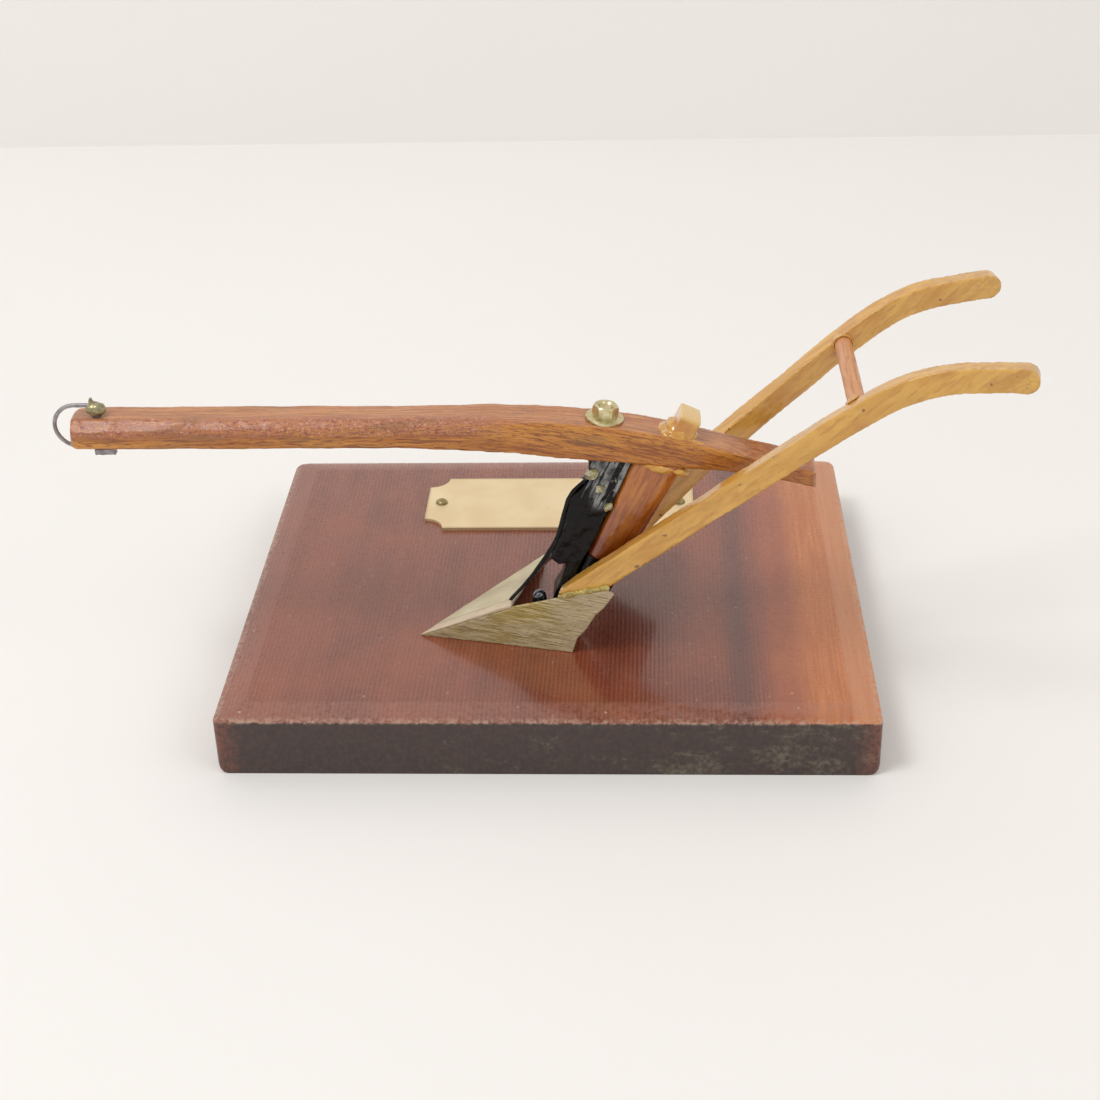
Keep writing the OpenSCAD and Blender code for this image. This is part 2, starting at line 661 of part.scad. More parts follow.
// Hexagon nut with a round flange.
module flange_nut() {
    color("#cdbd7c") on_bolt() difference() {
        union() {
            cylinder(d = flange_d, h = flange_t * 0.6);
            translate([0, 0, flange_t * 0.6]) cylinder(d1 = flange_d, d2 = nut_af * 1.2, h = flange_t * 0.4);
            intersection() {
                cylinder(d = nut_af / cos(30), h = flange_t + nut_h, $fn = 6);
                cylinder(d1 = nut_af * 1.9, d2 = nut_af * 0.98, h = flange_t + nut_h);
            }
        }
        translate([0, 0, -eps]) cylinder(d = bolt_d, h = flange_t + nut_h + 2 * eps);
        translate([0, 0, flange_t + nut_h - 0.5]) cylinder(d1 = bolt_d, d2 = bolt_d + 1, h = 0.51);
    }
}

// Countersunk wood screw from under the board into the standard.
module post_screw() {
    color("#9a9a95") difference() {
        translate([post_foot_x, plow_y, screw_sink]) rotate_extrude() polygon([[0, 0],
            [screw_head_d / 2 - seat, 0], [screw_d / 2 - seat, screw_head_h],
            [screw_d / 2 - seat, screw_len - 3], [0, screw_len]]);
        translate([post_foot_x, plow_y, screw_sink + 0.5])
            cube([screw_head_d * 0.62, 0.7, 1.2], center = true);
        translate([post_foot_x, plow_y, screw_sink + 0.5])
            cube([0.7, screw_head_d * 0.62, 1.2], center = true);
    }
}

// Round-headed screw through the frog's boss into the board.
module frog_screw() {
    color("#4c4e54") translate([frog_screw_x, frog_screw_y, base_h + frog_boss_h]) rotate_extrude()
        polygon(concat([[0, -frog_boss_h - frog_screw_bite], [0, frog_screw_head_h]],
            [for (a = [75:-15:0]) [frog_screw_head_d / 2 * cos(a), frog_screw_head_h * sin(a)]],
            [[frog_screw_d / 2 - seat, 0], [frog_screw_d / 2 - seat, -frog_boss_h - frog_screw_bite + 1.5]]));
}

// Wire bow of the clevis, in the plow's middle plane.
module clevis_loop() {
    bow_x = clevis_x - bow_reach;
    reach = bow_reach - clevis_pin_d / 2 - seat;
    color("#7e7b7d") {
        translate([bow_x, plow_y, clevis_mid]) rotate([90, 0, 0]) rotate([0, 0, 90])
            rotate_extrude(angle = 180) translate([bow_r, 0]) circle(d = wire_d);
        translate([bow_x, plow_y, clevis_mid + bow_r]) rotate([0, 90, 0]) cylinder(d = wire_d, h = reach);
        translate([bow_x, plow_y, clevis_mid - bow_r]) rotate([0, 90, 0]) cylinder(d = wire_d, h = reach);
    }
}

// Pin on which the clevis swings.
module clevis_pin() {
    color("#8e8a74") translate([clevis_x, plow_y, clevis_mid - bow_r - wire_d / 2])
        cylinder(d = clevis_pin_d, h = 2 * bow_r + wire_d);
}

// Solder cap that joins the bow to the pin, with the pin's bent-over end.
module clevis_cap() {
    low = beam_top(clevis_x) + swing_gap;
    color("#8f8a63") difference() {
        union() {
            intersection() {
                translate([clevis_x, plow_y, low + 1.3]) sphere(r = cap_r);
                translate([clevis_x - 5, plow_y - 5, low]) cube([10, 10, 10]);
            }
            translate([clevis_x - 0.9, plow_y - 0.4, low + 2.6]) cube([1.6, 0.8, 1.3]);
        }
        translate([clevis_x, plow_y, low - eps])
            cylinder(d = clevis_pin_d + 2 * seat, h = clevis_mid + bow_r + wire_d / 2 - low + eps + seat);
        translate([clevis_x - 5, plow_y, clevis_mid + bow_r]) rotate([0, 90, 0])
            cylinder(d = wire_d + 2 * seat, h = 5);
    }
}

// Flattened lower end of the pin, under the beam.
module clevis_foot() {
    top = clevis_mid - bow_r - wire_d / 2;
    color("#8b8890") translate([clevis_x - 1.4, plow_y - 0.8, top - 1.3]) cube([4.4, 1.6, 1.3]);
}

base_board();
nameplate();
nameplate_pins();
beam();
standard();
tenon_glue();
shoulder_glue();
post_ferrule();
frog();
frog_glue();
moldboard();
share();
landside();
landside_glue();
left_handle();
right_handle();
right_handle_glue();
handle_rung();
rung_glue();
beam_bolt();
flange_nut();
post_screw();
frog_screw();
clevis_loop();
clevis_pin();
clevis_cap();
clevis_foot();
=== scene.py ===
import math

import bpy
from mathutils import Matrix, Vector


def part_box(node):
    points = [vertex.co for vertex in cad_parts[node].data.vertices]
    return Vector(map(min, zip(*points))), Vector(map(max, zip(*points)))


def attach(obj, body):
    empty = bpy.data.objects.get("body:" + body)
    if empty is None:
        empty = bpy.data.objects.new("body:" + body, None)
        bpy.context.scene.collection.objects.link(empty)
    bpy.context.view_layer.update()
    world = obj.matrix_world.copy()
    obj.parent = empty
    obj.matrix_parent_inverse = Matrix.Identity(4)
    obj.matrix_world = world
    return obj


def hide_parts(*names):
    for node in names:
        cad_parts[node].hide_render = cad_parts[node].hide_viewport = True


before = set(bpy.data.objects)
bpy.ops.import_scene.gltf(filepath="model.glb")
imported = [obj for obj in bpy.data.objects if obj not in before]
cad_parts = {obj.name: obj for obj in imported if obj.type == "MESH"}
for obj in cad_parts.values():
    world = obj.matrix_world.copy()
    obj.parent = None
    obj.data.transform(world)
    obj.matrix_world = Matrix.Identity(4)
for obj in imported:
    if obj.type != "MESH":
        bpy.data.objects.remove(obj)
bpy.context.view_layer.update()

MM = 0.001
BOARD_HALF_W, BOARD_HALF_D, BOARD_TOP = [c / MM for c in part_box("base_board")[1]]
PLOW_Y = -25.0               # the plow's middle plane
BEVEL_W = 5.8                # width of the board's shallow top bevel
LEAN_COS, LEAN_SIN = 0.9026, 0.4305    # of the standard's lean from upright


# ---------------------------------------------------------------- shader maths
class Value:
    """A socket that holds a number. Sums and products of values add Math nodes."""

    def __init__(self, shader, socket):
        self.shader = shader
        self.socket = socket

    def _math(self, operation, *inputs):
        node = self.shader.node("ShaderNodeMath", {"operation": operation}, *inputs)
        return Value(self.shader, node.outputs[0])

    def __add__(self, other): return self._math("ADD", self, other)
    def __radd__(self, other): return self._math("ADD", other, self)
    def __sub__(self, other): return self._math("SUBTRACT", self, other)
    def __rsub__(self, other): return self._math("SUBTRACT", other, self)
    def __mul__(self, other): return self._math("MULTIPLY", self, other)
    def __rmul__(self, other): return self._math("MULTIPLY", other, self)
    def abs(self): return self._math("ABSOLUTE", self)
    def sin(self): return self._math("SINE", self)
    def either(self, other): return self._math("MAXIMUM", self, other)

    def between(self, low, high):
        """0 up to low, 1 from high on, and a smooth rise between them."""
        node = self.shader.node("ShaderNodeMapRange", {"interpolation_type": "SMOOTHSTEP"},
                                self, low, high, 0.0, 1.0)
        return Value(self.shader, node.outputs[0])


class Shader:
    """Builds the nodes of one material."""

    def __init__(self, name, **constants):
        self.material = bpy.data.materials.new(name)
        self.material.use_nodes = True
        self.tree = self.material.node_tree
        self.surface = self.tree.nodes["Principled BSDF"]
        for socket, number in constants.items():
            self.surface.inputs[socket.replace("_", " ")].default_value = number
        coordinates = self.node("ShaderNodeTexCoord", {})
        scaled = self.node("ShaderNodeVectorMath", {"operation": "SCALE"}, coordinates.outputs["Object"])
        scaled.inputs["Scale"].default_value = 1 / MM
        self.x, self.y, self.z = self.split(scaled.outputs[0])
        self.nx, self.ny, self.nz = self.split(coordinates.outputs["Normal"])

    def node(self, kind, settings, *inputs):
        made = self.tree.nodes.new(kind)
        for key, setting in settings.items():
            setattr(made, key, setting)
        for socket, given in zip(made.inputs, inputs):
            self.feed(socket, given)
        return made

    def feed(self, socket, given):
        if isinstance(given, Value):
            given = given.socket
        if isinstance(given, bpy.types.NodeSocket):
            self.tree.links.new(given, socket)
        elif isinstance(given, tuple) and len(given) == 3 and socket.type == "RGBA":
            socket.default_value = (*given, 1.0)
        elif given is not None:
            socket.default_value = given

    def split(self, vector):
        parts = self.node("ShaderNodeSeparateXYZ", {}, vector)
        return [Value(self, parts.outputs[i]) for i in range(3)]

    def noise(self, x, y, z, detail=3.0, roughness=0.55):
        """Noise from 0 to 1, about one feature for each unit of x, y and z."""
        place = self.node("ShaderNodeCombineXYZ", {}, x, y, z)
        made = self.node("ShaderNodeTexNoise", {"noise_dimensions": "3D"})
        for key, given in (("Vector", place.outputs[0]), ("Scale", 1.0), ("Detail", detail),
                           ("Roughness", roughness), ("Distortion", 0.0)):
            self.feed(made.inputs[key], given)
        return Value(self, made.outputs["Fac"])

    def mix(self, amount, first, second):
        """The first colour where amount is 0 and the second where it is 1."""
        made = self.node("ShaderNodeMix", {"data_type": "RGBA", "clamp_factor": True})
        colours = [s for s in made.inputs if s.type == "RGBA"]
        self.feed(made.inputs[0], amount)
        self.feed(colours[0], first)
        self.feed(colours[1], second)
        return [s for s in made.outputs if s.type == "RGBA"][0]

    def bump(self, height, depth_mm, strength=1.0):
        made = self.node("ShaderNodeBump", {})
        made.inputs["Distance"].default_value = depth_mm * MM
        made.inputs["Strength"].default_value = strength
        self.feed(made.inputs["Height"], height)
        self.feed(self.surface.inputs["Normal"], made.outputs[0])

    def finish(self, colour, roughness=None):
        self.feed(self.surface.inputs["Base Color"], colour)
        if roughness is not None:
            self.feed(self.surface.inputs["Roughness"], roughness)
        return self.material


# ---------------------------------------------------------------- finishes
def plaque_wood():
    """Red-brown varnished board: stripes of grain run from front to back, sapwood at the right end."""
    s = Shader("plaque_wood", Coat_Weight=0.55, Coat_Roughness=0.12)
    waver = s.noise(s.x * 0.02, s.y * 0.02, s.z * 0.05, detail=1.0)
    across = s.x + waver * 2.2
    rib = (across * 6.9).sin() * 0.5 + 0.5
    fine = s.noise(across * 1.9, s.y * 0.05, s.z * 0.6, detail=2.0, roughness=0.7)
    broad = s.noise(across * 0.10, s.y * 0.014, s.z * 0.1, detail=3.0)
    blotch = s.noise(s.x * 0.05, s.y * 0.05, s.z * 0.1, detail=4.0)
    heart = s.mix(broad.between(0.35, 0.65), (0.150, 0.034, 0.018), (0.215, 0.052, 0.026))
    heart = s.mix(blotch.between(0.42, 0.70) * 0.6, heart, (0.255, 0.062, 0.022))
    heart = s.mix((rib * 0.55 + fine * 0.45).between(0.40, 0.80) * 0.24, heart, (0.42, 0.15, 0.085))
    streak = (across - 42.0).abs().between(4.5, 0.5) * (0.35 + blotch * 0.8)
    heart = s.mix(streak * 0.75, heart, (0.075, 0.026, 0.026))
    sap = s.mix(fine.between(0.3, 0.75), (0.42, 0.115, 0.022), (0.52, 0.175, 0.045))
    amber = s.mix(blotch.between(0.4, 0.65), (0.30, 0.075, 0.028), (0.36, 0.10, 0.030))
    top = s.mix(across.between(46.0, 50.0), heart, amber)
    top = s.mix(across.between(52.0, 58.0), top, sap)
    # Sides: dark old stain with grey-green blotches, thicker towards the right end.
    patch = s.noise(s.x * 0.11, s.y * 0.11, s.z * 0.22, detail=6.0, roughness=0.7)
    speck = s.noise(s.x * 0.9, s.y * 0.9, s.z * 0.9, detail=4.0, roughness=0.8)
    side = s.mix(speck.between(0.4, 0.75), (0.030, 0.013, 0.010), (0.065, 0.032, 0.022))
    mould = (patch + s.x * 0.0014).between(0.54, 0.72) * speck.between(0.35, 0.6)
    side = s.mix(mould * 0.75, side, (0.155, 0.135, 0.085))
    ends = s.x.abs().between(62.0, 68.5) * speck.between(0.3, 0.6)
    side = s.mix(ends * 0.7, side, (0.22, 0.06, 0.03))
    below = s.z.between(BOARD_TOP - 1.05, BOARD_TOP - 1.3)
    colour = s.mix(below, top, side)
    # Rubbed bevel along the top edges, and a painted highlight that makes the right bevel paler.
    rim = s.x.abs().between(BOARD_HALF_W - BEVEL_W - 0.6, BOARD_HALF_W - BEVEL_W + 0.4).either(
        s.y.abs().between(BOARD_HALF_D - BEVEL_W - 0.6, BOARD_HALF_D - BEVEL_W + 0.4))
    worn = rim * (1.0 - below) * speck.between(0.3, 0.7)
    colour = s.mix(worn * 0.42, colour, (0.40, 0.20, 0.15))
    # Painted highlight: the right bevel is made paler, as if lit.
    pale = s.x.between(BOARD_HALF_W - BEVEL_W - 0.4, BOARD_HALF_W - BEVEL_W + 0.2) * (1.0 - below)
    colour = s.mix(pale * (0.10 + speck * 0.25), colour, (0.74, 0.38, 0.19))
    arris = s.z.between(BOARD_TOP - 1.7, BOARD_TOP - 1.2) * s.z.between(BOARD_TOP - 0.75, BOARD_TOP - 1.05)
    edge = arris * speck.between(0.42, 0.62)
    colour = s.mix(edge * 0.6, colour, (0.50, 0.36, 0.27))
    dust = s.noise(s.x * 0.8, s.y * 0.8, s.z * 0.8, detail=1.0).between(0.76, 0.80) * s.nz.between(0.8, 0.9)
    colour = s.mix(dust * 0.6, colour, (0.6, 0.5, 0.42))
    s.bump(rib * 0.8 + fine * 0.6 + speck * 0.2 + below * patch, 0.05, 0.6)
    return s.finish(colour, 0.22 + speck * 0.12 + below * 0.35 + worn * 0.2)


def grained(s, along, across, deep, dark, light, line, fine=2.4, dashes=0.5):
    """Wood whose grain runs along the first coordinate."""
    wave = s.noise(along * 0.03, across * 0.25, deep * 0.25, detail=2.0)
    broad = s.noise(along * 0.028, across * 0.55 + wave, deep * 0.55, detail=3.0)
    thin = s.noise(along * 0.11, across * fine + wave * 2.0, deep * fine, detail=4.0, roughness=0.65)
    pores = s.noise(along * 0.42, across * 5.5, deep * 5.5, detail=2.0, roughness=0.6)
    colour = s.mix(broad.between(0.3, 0.7), dark, light)
    colour = s.mix(thin.between(0.50, 0.62) * 0.70, colour, line)
    colour = s.mix(pores.between(0.55, 0.62) * dashes, colour, line)
    return colour, thin, pores


def beam_wood():
    """Orange oak under old varnish, with a painted pink sheen on the top, rubbed rough along the top's left
    edge with pink painted highlights.
    """
    s = Shader("beam_wood", Coat_Weight=0.35, Coat_Roughness=0.2)
    bend = s.x.between(-20.0, 75.0)
    down = s.z + bend * 16.0
    colour, thin, pores = grained(
        s, s.x, s.y, down, (0.42, 0.135, 0.014), (0.62, 0.26, 0.038), (0.17, 0.035, 0.010), 2.0, 0.85)
    flake = s.noise(s.x * 0.9, s.y * 1.6, s.z * 1.6, detail=5.0, roughness=0.75)
    # Painted sheen: faces that look up are tinted pink, as if they reflect the pale room.
    painted_top_sheen = s.nz.between(0.45, 0.9)
    colour = s.mix(painted_top_sheen * (0.15 + flake * 0.5), colour, (0.50, 0.20, 0.10))
    vein = s.noise(s.x * 0.09, s.y * 2.6, s.z * 0.5, detail=4.0, roughness=0.65)
    colour = s.mix(painted_top_sheen * vein.between(0.50, 0.60) * 0.5, colour, (0.26, 0.08, 0.03))
    colour = s.mix(painted_top_sheen * vein.between(0.46, 0.38) * 0.5, colour, (0.66, 0.33, 0.14))
    # Rough rubbed strip that fades out towards the bolt: its maroon patches are worn wood, its pink patches
    # and pale flecks are painted highlights.
    strip = s.y.between(PLOW_Y, -27.6) * s.z.between(63.2, 65.0) * s.x.between(-5.0, -16.0)
    colour = s.mix(strip * flake.between(0.36, 0.52) * 0.75, colour, (0.52, 0.20, 0.11))
    colour = s.mix(strip * flake.between(0.52, 0.58) * 0.75, colour, (0.24, 0.055, 0.035))
    chip_and_glint = s.noise(s.x * 1.7, s.y * 2.2, s.z * 2.2, detail=3.0, roughness=0.7)
    colour = s.mix(strip * chip_and_glint.between(0.58, 0.64) * 0.6, colour, (0.80, 0.50, 0.36))
    brick = s.noise(s.x * 0.35, s.y * 0.7, s.z * 0.7, detail=4.0, roughness=0.7)
    colour = s.mix(s.x.between(33.0, 44.0) * brick.between(0.42, 0.62) * 0.7, colour, (0.24, 0.05, 0.014))
    smoke = s.noise(s.x * 0.05, s.y * 0.2, s.z * 0.3, detail=2.0).between(0.56, 0.72)
    colour = s.mix(smoke * 0.38, colour, (0.19, 0.10, 0.035))
    # The rear end is made pale: rough sawn end grain, partly painted highlight.
    tail = s.x.between(54.6, 55.2) * flake.between(0.35, 0.6)
    colour = s.mix(tail * 0.7, colour, (0.62, 0.36, 0.2))
    s.bump(thin * 0.5 + pores * 0.5 + strip * (flake * 2.4 + chip_and_glint), 0.14, 1.0)
    return s.finish(colour, 0.30 + flake * 0.12 + strip * 0.2)


def post_wood():
    """Standard: amber at the shoulder, deep red-brown at the foot, under thick varnish."""
    s = Shader("post_wood", Coat_Weight=0.9, Coat_Roughness=0.06)
    along = s.z * 0.9 + s.x * 0.43
    across = s.x * 0.9 - s.z * 0.43
    colour, thin, _ = grained(
        s, along, s.y, across, (0.36, 0.085, 0.006), (0.52, 0.18, 0.016), (0.24, 0.05, 0.005), 1.1, 0.15)
    cloud = s.noise(s.x * 0.22, s.y * 0.22, s.z * 0.22, detail=3.0)
    deep = (s.z + cloud * 14.0).between(60.0, 40.0)
    colour = s.mix(deep * 0.92, colour, (0.135, 0.014, 0.001))
    # Painted highlight: a pale strip down the upper front edge, as on a rounded post lit from the left.
    pale = (across + 2.0).between(-6.2, -9.5) * s.z.between(38.0, 50.0)
    colour = s.mix(pale * 0.8, colour, (0.62, 0.32, 0.18))
    head = s.z.between(58.0, 62.0)
    colour = s.mix(head, colour, s.mix(cloud.between(0.3, 0.7), (0.52, 0.20, 0.02), (0.66, 0.36, 0.08)))
    end = (s.z * LEAN_COS + s.x * LEAN_SIN).between(72.3, 72.9)
    colour = s.mix(end * 0.75, colour, (0.74, 0.50, 0.16))
    s.bump(thin * 0.3 + cloud * 2.6, 0.22, 0.8)
    return s.finish(colour, 0.20 + cloud * 0.1)


def handle_wood():
    """Yellow-amber varnished bars with a few dark specks."""
    s = Shader("handle_wood", Coat_Weight=0.85, Coat_Roughness=0.10)
    along = s.x * 0.76 + s.z * 0.65
    across = s.z * 0.76 - s.x * 0.65
    colour, thin, pores = grained(
        s, along, s.y, across, (0.58, 0.29, 0.040), (0.70, 0.39, 0.072), (0.50, 0.22, 0.028), 1.0, 0.25)
    cloud = s.noise(s.x * 0.12, s.y * 0.2, s.z * 0.12, detail=3.0)
    colour = s.mix(cloud.between(0.52, 0.75) * 0.5, colour, (0.52, 0.22, 0.025))
    speck = s.noise(s.x * 0.75, s.y * 0.75, s.z * 0.75, detail=0.0).between(0.80, 0.84)
    colour = s.mix(speck * 0.8, colour, (0.14, 0.05, 0.012))
    grip = s.x.between(80.0, 92.0) * s.noise(s.x, s.y, s.z * 2.0, detail=4.0).between(0.42, 0.7)
    colour = s.mix(grip * 0.5, colour, (0.42, 0.24, 0.08))
    stain = ((s.x - 61.5).abs().between(3.4, 1.6)) * cloud.between(0.4, 0.62)
    colour = s.mix(stain * 0.45, colour, (0.45, 0.14, 0.05))
    s.bump(thin * 0.5 + pores * 0.3 + cloud, 0.09, 0.7)
    return s.finish(colour, 0.27 + cloud * 0.12)


def rung_wood():
    """Salmon-brown rod whose grain runs across the plow."""
    s = Shader("rung_wood", Coat_Weight=0.3, Coat_Roughness=0.25)
    colour, thin, pores = grained(
        s, s.y, s.x, s.z, (0.54, 0.22, 0.085), (0.66, 0.32, 0.14), (0.42, 0.15, 0.05), 1.6, 0.3)
    s.bump(thin * 0.6 + pores * 0.4, 0.06, 0.7)
    return s.finish(colour, 0.36 + thin * 0.12)


def across_web(s):
    """Distance across the frog's leaning web."""
    return (s.x - 4.6) * 0.9 - (s.z - 42.0) * 0.43


def black_metal():
    """Gloss black paint, thin and streaked with bare grey metal on the frog's head, with painted highlight
    streaks along the web.
    """
    s = Shader("black_metal", Specular_IOR_Level=0.22)
    run = s.noise(s.x * 0.75 - s.z * 0.35, s.y * 0.75, s.z * 0.06 + s.x * 0.05, detail=3.0, roughness=0.6)
    blotch = s.noise(s.x * 0.4, s.y * 0.4, s.z * 0.4, detail=3.0)
    head = (s.z + blotch * 6.0).between(49.0, 53.0) * s.x.between(8.6, 10.2) * s.y.between(-18.0, -24.0)
    bare = head * run.between(0.50, 0.58)
    colour = s.mix(blotch.between(0.3, 0.8), (0.0025, 0.002, 0.002), (0.007, 0.005, 0.005))
    colour = s.mix(bare, colour, s.mix(blotch.between(0.35, 0.6), (0.06, 0.062, 0.066), (0.30, 0.31, 0.31)))
    flake = head * s.noise(s.x * 0.8, s.y * 0.8, s.z * 0.8, detail=4.0).between(0.60, 0.66)
    colour = s.mix(flake * 0.7, colour, (0.42, 0.40, 0.29))
    # Painted highlight: thin grey streaks along the web, standing in for gloss glints.
    line = (across_web(s) + 1.5 - blotch * 1.2).abs().between(0.5, 0.1) * run.between(0.45, 0.6)
    colour = s.mix(line * 0.8, colour, (0.26, 0.26, 0.28))
    s.bump(run + blotch * 1.6 + flake, 0.35, 0.8)
    return s.finish(colour, 0.16 + run * 0.14 + bare * 0.2)


def share_metal():
    """Cream-coloured sheet, tinted pink-brown along the folded ridge, with painted shade in the fold's
    crease.
    """
    s = Shader("share_metal", Coat_Weight=0.2, Coat_Roughness=0.3)
    cloud = s.noise(s.x * 0.16, s.y * 0.12, s.z * 0.2, detail=4.0)
    fine = s.noise(s.x * 1.8, s.y * 0.6, s.z * 1.8, detail=4.0, roughness=0.7)
    colour = s.mix(cloud.between(0.3, 0.7), (0.52, 0.45, 0.27), (0.66, 0.59, 0.39))
    ridge = (s.y + s.x * 0.205 + 31.9)
    band = ridge.between(4.6, 3.6) * (0.45 + fine * 0.6)
    colour = s.mix(band * 0.5, colour, (0.60, 0.42, 0.33))
    # Painted shade: a dark line along the fold's crease.
    crease = (ridge - 4.2 - cloud * 1.2).abs().between(0.42, 0.08)
    colour = s.mix(crease * 0.65, colour, (0.22, 0.13, 0.09))
    scuff = fine.between(0.62, 0.72) * cloud.between(0.5, 0.6)
    colour = s.mix(scuff * 0.7, colour, (0.20, 0.14, 0.09))
    s.bump(cloud * 1.5 + fine * 0.4 - crease * 1.4, 0.16, 0.8)
    return s.finish(colour, 0.34 + fine * 0.2)


def landside_metal():
    """Hand-cut brass sheet: scratched lengthwise, with olive tarnish and pale bare patches."""
    s = Shader("landside_metal", Metallic=0.35)
    scratch = s.noise(s.x * 0.20, s.y * 0.3, s.z * 4.2 + s.x * 0.35, detail=4.0, roughness=0.7)
    stroke = s.noise(s.x * 0.6, s.y, s.z * 2.4 - s.x * 0.3, detail=3.0, roughness=0.7)
    cloud = s.noise(s.x * 0.14, s.y * 0.3, s.z * 0.26, detail=4.0)
    colour = s.mix(cloud.between(0.35, 0.65), (0.42, 0.32, 0.115), (0.54, 0.45, 0.27))
    gold = (s.x + 6.0).abs().between(8.0, 2.0) * s.z.between(18.0, 22.0)
    colour = s.mix(gold * 0.5, colour, (0.52, 0.39, 0.065))
    colour = s.mix(s.x.between(2.0, 9.0) * 0.5, colour, (0.58, 0.47, 0.33))
    colour = s.mix(scratch.between(0.50, 0.58) * 0.75, colour, (0.70, 0.61, 0.38))
    colour = s.mix(scratch.between(0.46, 0.38) * 0.7, colour, (0.17, 0.12, 0.035))
    pit = stroke.between(0.64, 0.72)
    colour = s.mix(pit * 0.6, colour, (0.17, 0.12, 0.05))
    # Painted shade: faces that look towards +X, away from the key lamp, are made near black.
    colour = s.mix(s.nx.between(0.45, 0.75), colour, (0.05, 0.035, 0.02))
    s.bump(scratch * 1.3 + stroke * 0.7, 0.16, 0.9)
    return s.finish(colour, 0.36 + stroke * 0.25)


def plate_brass():
    """Pale satin brass with fine lengthwise brushing and faint handling marks."""
    s = Shader("plate_brass", Metallic=0.55)
    brushed = s.noise(s.x * 0.12, s.y * 7.0, s.z, detail=3.0, roughness=0.7)
    cloud = s.noise(s.x * 0.08, s.y * 0.08, s.z, detail=4.0)
    colour = s.mix(cloud.between(0.3, 0.7), (0.78, 0.61, 0.36), (0.86, 0.71, 0.46))
    edge = (s.y - 32.7).abs().between(11.6, 12.4).either(s.x.abs().between(31.8, 32.4))
    colour = s.mix(edge * 0.35, colour, (0.36, 0.26, 0.12))
    spot = s.noise(s.x * 0.5, s.y * 0.5, s.z, detail=2.0).between(0.72, 0.78)
    colour = s.mix(spot * 0.4, colour, (0.42, 0.30, 0.14))
    s.bump(brushed, 0.02, 0.6)
    return s.finish(colour, 0.34 + brushed * 0.12 + cloud * 0.06)


def cast_metal(name, dark, light, metallic, rough, skin=0.06):
    """Small metal parts: clouded colour, dirt in patches and a softly uneven skin."""
    s = Shader(name, Metallic=metallic)
    cloud = s.noise(s.x * 0.7, s.y * 0.7, s.z * 0.7, detail=4.0)
    fine = s.noise(s.x * 3.0, s.y * 3.0, s.z * 3.0, detail=3.0)
    colour = s.mix(cloud.between(0.3, 0.7), dark, light)
    colour = s.mix(fine.between(0.55, 0.75) * cloud.between(0.4, 0.65) * 0.5, colour, (0.08, 0.06, 0.04))
    s.bump(cloud + fine * 0.4, skin, 0.7)
    return s.finish(colour, rough + fine * 0.15)


def glue(name, dark, light):
    """Clear hardened epoxy, honey coloured where it is thick."""
    s = Shader(name, Coat_Weight=1.0, Coat_Roughness=0.03, IOR=1.5)
    cloud = s.noise(s.x * 0.5, s.y * 0.5, s.z * 0.5, detail=3.0)
    bubble = s.noise(s.x * 2.6, s.y * 2.6, s.z * 2.6, detail=1.0).between(0.66, 0.74)
    colour = s.mix(cloud.between(0.3, 0.7), dark, light)
    colour = s.mix(bubble * 0.5, colour, (0.85, 0.72, 0.42))
    s.bump(cloud * 1.8 + bubble * 0.3, 0.22, 0.8)
    return s.finish(colour, 0.12 + cloud * 0.08)


FINISHES = {
    "plaque_wood": plaque_wood(),
    "plate_brass": plate_brass(),
    "pin_brass": cast_metal("pin_brass", (0.22, 0.17, 0.07), (0.42, 0.34, 0.17), 0.8, 0.28),
    "beam_oak": beam_wood(),
    "post_wood": post_wood(),
    "amber_glue": glue("amber_glue", (0.52, 0.215, 0.014), (0.64, 0.33, 0.040)),
    "yellow_glue": glue("yellow_glue", (0.30, 0.21, 0.035), (0.50, 0.40, 0.10)),
    "black_metal": black_metal(),
    "drop_glue": glue("drop_glue", (0.24, 0.20, 0.045), (0.50, 0.47, 0.36)),
    "share_metal": share_metal(),
    "landside_metal": landside_metal(),
    "handle_wood": handle_wood(),
    "rung_wood": rung_wood(),
    "nut_metal": cast_metal("nut_metal", (0.50, 0.41, 0.19), (0.72, 0.65, 0.40), 0.85, 0.22, skin=0.015),
    "screw_steel": cast_metal("screw_steel", (0.10, 0.10, 0.11), (0.28, 0.29, 0.32), 0.9, 0.18),
    "wire_steel": cast_metal("wire_steel", (0.22, 0.20, 0.21), (0.40, 0.37, 0.38), 0.6, 0.36),
    "solder": cast_metal("solder", (0.24, 0.21, 0.11), (0.42, 0.38, 0.22), 0.65, 0.25),
}


# ---------------------------------------------------------------- shaping
def select_only(piece):
    if bpy.context.object and bpy.context.object.mode != "OBJECT":
        bpy.ops.object.mode_set(mode="OBJECT")
    bpy.ops.object.select_all(action="DESELECT")
    piece.select_set(True)
    bpy.context.view_layer.objects.active = piece


def apply_modifier(piece, kind, **settings):
    modifier = piece.modifiers.new(kind.title(), kind)
    for key, setting in settings.items():
        setattr(modifier, key, setting)
    select_only(piece)
    bpy.ops.object.modifier_apply(modifier=modifier.name)


def merged_copy(node, name):
    """A closed copy of a solid node's skin, for shaping."""
    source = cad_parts[node]
    piece = source.copy()
    piece.data = source.data.copy()
    piece.name = name
    piece.parent = None
    piece.data.materials.clear()
    bpy.context.scene.collection.objects.link(piece)
    piece.matrix_world.identity()
    select_only(piece)
    bpy.ops.object.mode_set(mode="EDIT")
    bpy.ops.mesh.select_all(action="SELECT")
    bpy.ops.mesh.remove_doubles(threshold=0.0005 * MM)
    bpy.ops.mesh.dissolve_limited(angle_limit=math.radians(1.5))
    bpy.ops.mesh.customdata_custom_splitnormals_clear()
    bpy.ops.object.mode_set(mode="OBJECT")
    return piece


